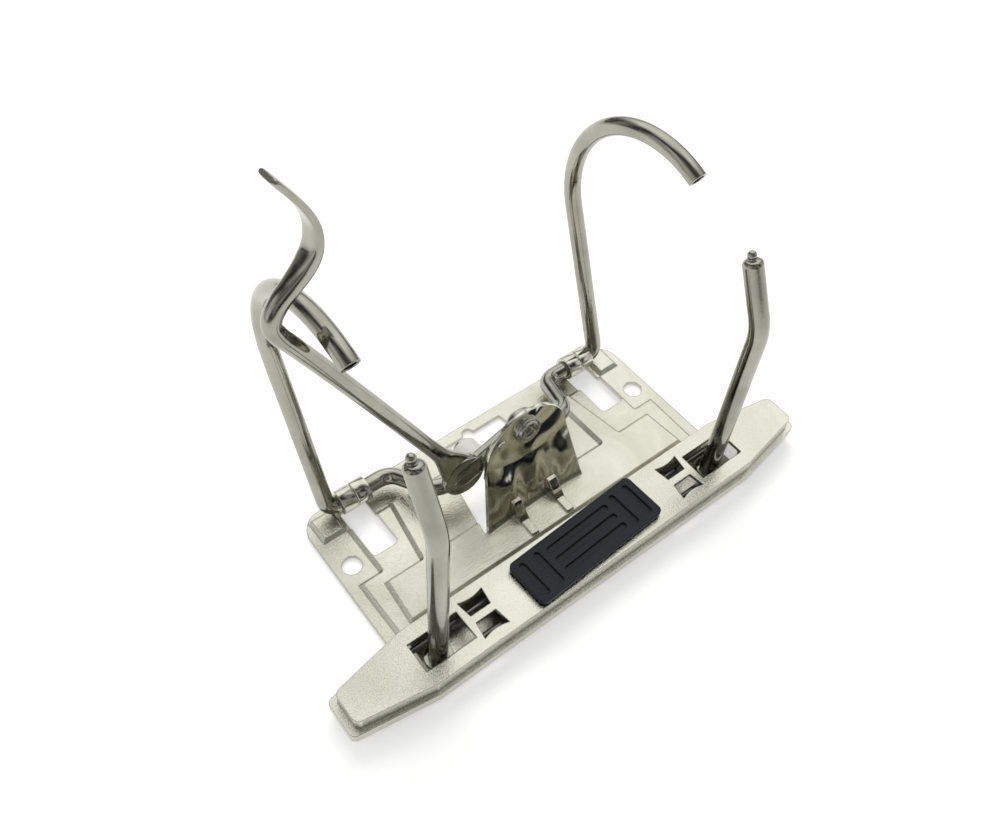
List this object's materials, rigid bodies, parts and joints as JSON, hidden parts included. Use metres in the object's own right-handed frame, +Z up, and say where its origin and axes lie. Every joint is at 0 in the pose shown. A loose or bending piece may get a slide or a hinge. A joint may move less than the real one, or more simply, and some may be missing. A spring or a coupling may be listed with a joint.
{
  "type": "lever arch mechanism",
  "caption": "Lever arch mechanism for a ring binder: stamped base plate with hinged wire arches, posts, a pivoting lever with roller, and a sliding compressor bar with a press pad.",
  "frame": {"origin": "midway between the two rivet holes, on the underside that lies on the board", "axes": "+X along the line of the two posts, +Y from the posts towards the arch hinge, +Z up from the board"},
  "size_m": [0.1284, 0.0679, 0.108],
  "materials": {
    "plate_sheet": "satin nickel plating on stamped sheet",
    "bar_sheet": "satin nickel plating on stamped sheet",
    "bright_wire": "bright nickel plating on drawn wire",
    "rivet": "bright nickel plating",
    "dark_wire": "oiled spring wire",
    "white_nylon": "moulded nylon",
    "pad_black": "moulded, semi-gloss"
  },
  "bodies": {
    "base": {"base_plate": "plate_sheet", "post_left": "bright_wire", "post_right": "bright_wire", "post_collar_left": "bright_wire", "post_collar_right": "bright_wire", "lever_rivet": "rivet"},
    "arches": {"arch_wire": "bright_wire"},
    "lever": {"lever": "bright_wire", "roller_pin": "rivet"},
    "roller": {"roller": "white_nylon"},
    "bar": {"compressor_bar": "bar_sheet"},
    "pad": {"press_pad": "pad_black", "grip_wire": "dark_wire"}
  },
  "joints": [
    {"name": "lever_swing", "type": "hinge", "parent": "base", "child": "lever", "pos_m": [0, -0.00682, 0.02556], "axis": [0, -0.9903, 0.1392], "range_deg": [0, 63]},
    {"name": "arch_swing", "type": "hinge", "parent": "base", "child": "arches", "pos_m": [0, 0.013, 0.0052], "axis": [1, 0, 0], "range_deg": [0, 14.6]},
    {"name": "roller_spin", "type": "hinge", "parent": "lever", "child": "roller", "pos_m": [-0.01142, -0.00198, 0.01974], "axis": [0, -0.9903, 0.1392], "continuous": true},
    {"name": "bar_slide", "type": "slide", "parent": "base", "child": "bar", "axis": [0, 0, 1], "range_m": [0, 0.036]},
    {"name": "pad_press", "type": "slide", "parent": "bar", "child": "pad", "axis": [0, 0, -1], "range_m": [0, 0.0005], "stiffness_N_per_m": 1500, "springref_m": -0.0003}
  ],
  "couplings": [
    {"joint": "arch_swing", "follows": "lever_swing", "ratio": 0.2317}
  ]
}
